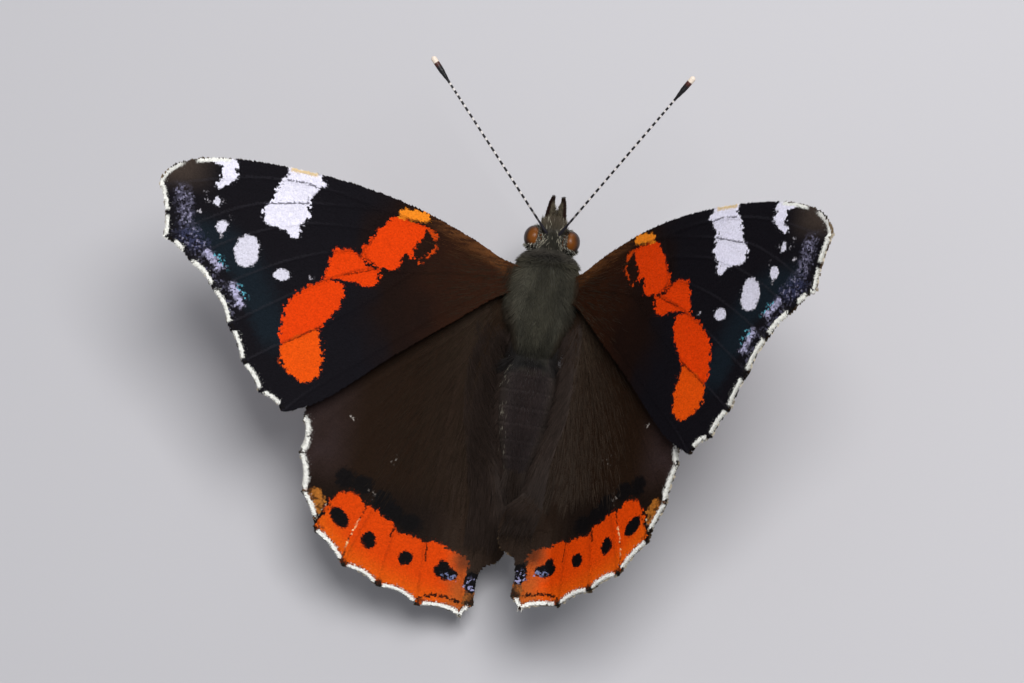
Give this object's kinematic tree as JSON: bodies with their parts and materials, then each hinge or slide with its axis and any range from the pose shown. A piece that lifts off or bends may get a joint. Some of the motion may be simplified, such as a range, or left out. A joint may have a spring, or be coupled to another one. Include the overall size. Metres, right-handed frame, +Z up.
{
  "type": "red admiral butterfly model",
  "caption": "Life-size still model of a red admiral butterfly standing with its scalloped wings open, one side raised higher, and clubbed antennae spread in a V.",
  "frame": {"origin": "on the floor under the middle of the whole model", "axes": "+X towards the right wings, +Y towards the head, +Z up from the floor that the feet stand on"},
  "size_m": [0.0572, 0.0466, 0.0313],
  "materials": {
    "body_hair": "matt brown-grey hair",
    "eye": "glossy brown",
    "antenna": "black with pale rings and a cream tip",
    "leg": "matt brown",
    "forewing": "matt black scales with an orange-red band and white spots",
    "hindwing": "matt dark brown scales with an orange-red rim"
  },
  "bodies": {
    "root": {"thorax": "body_hair", "head": "body_hair", "abdomen": "body_hair", "eye_left": "eye", "eye_right": "eye", "palp_left": "body_hair", "palp_right": "body_hair", "antenna_left": "antenna", "antenna_right": "antenna", "foreleg_left": "leg", "foreleg_right": "leg", "midleg_left": "leg", "midleg_right": "leg", "hindleg_left": "leg", "hindleg_right": "leg", "forewing_left": "forewing", "forewing_right": "forewing", "hindwing_left": "hindwing", "hindwing_right": "hindwing"}
  },
  "joints": []
}
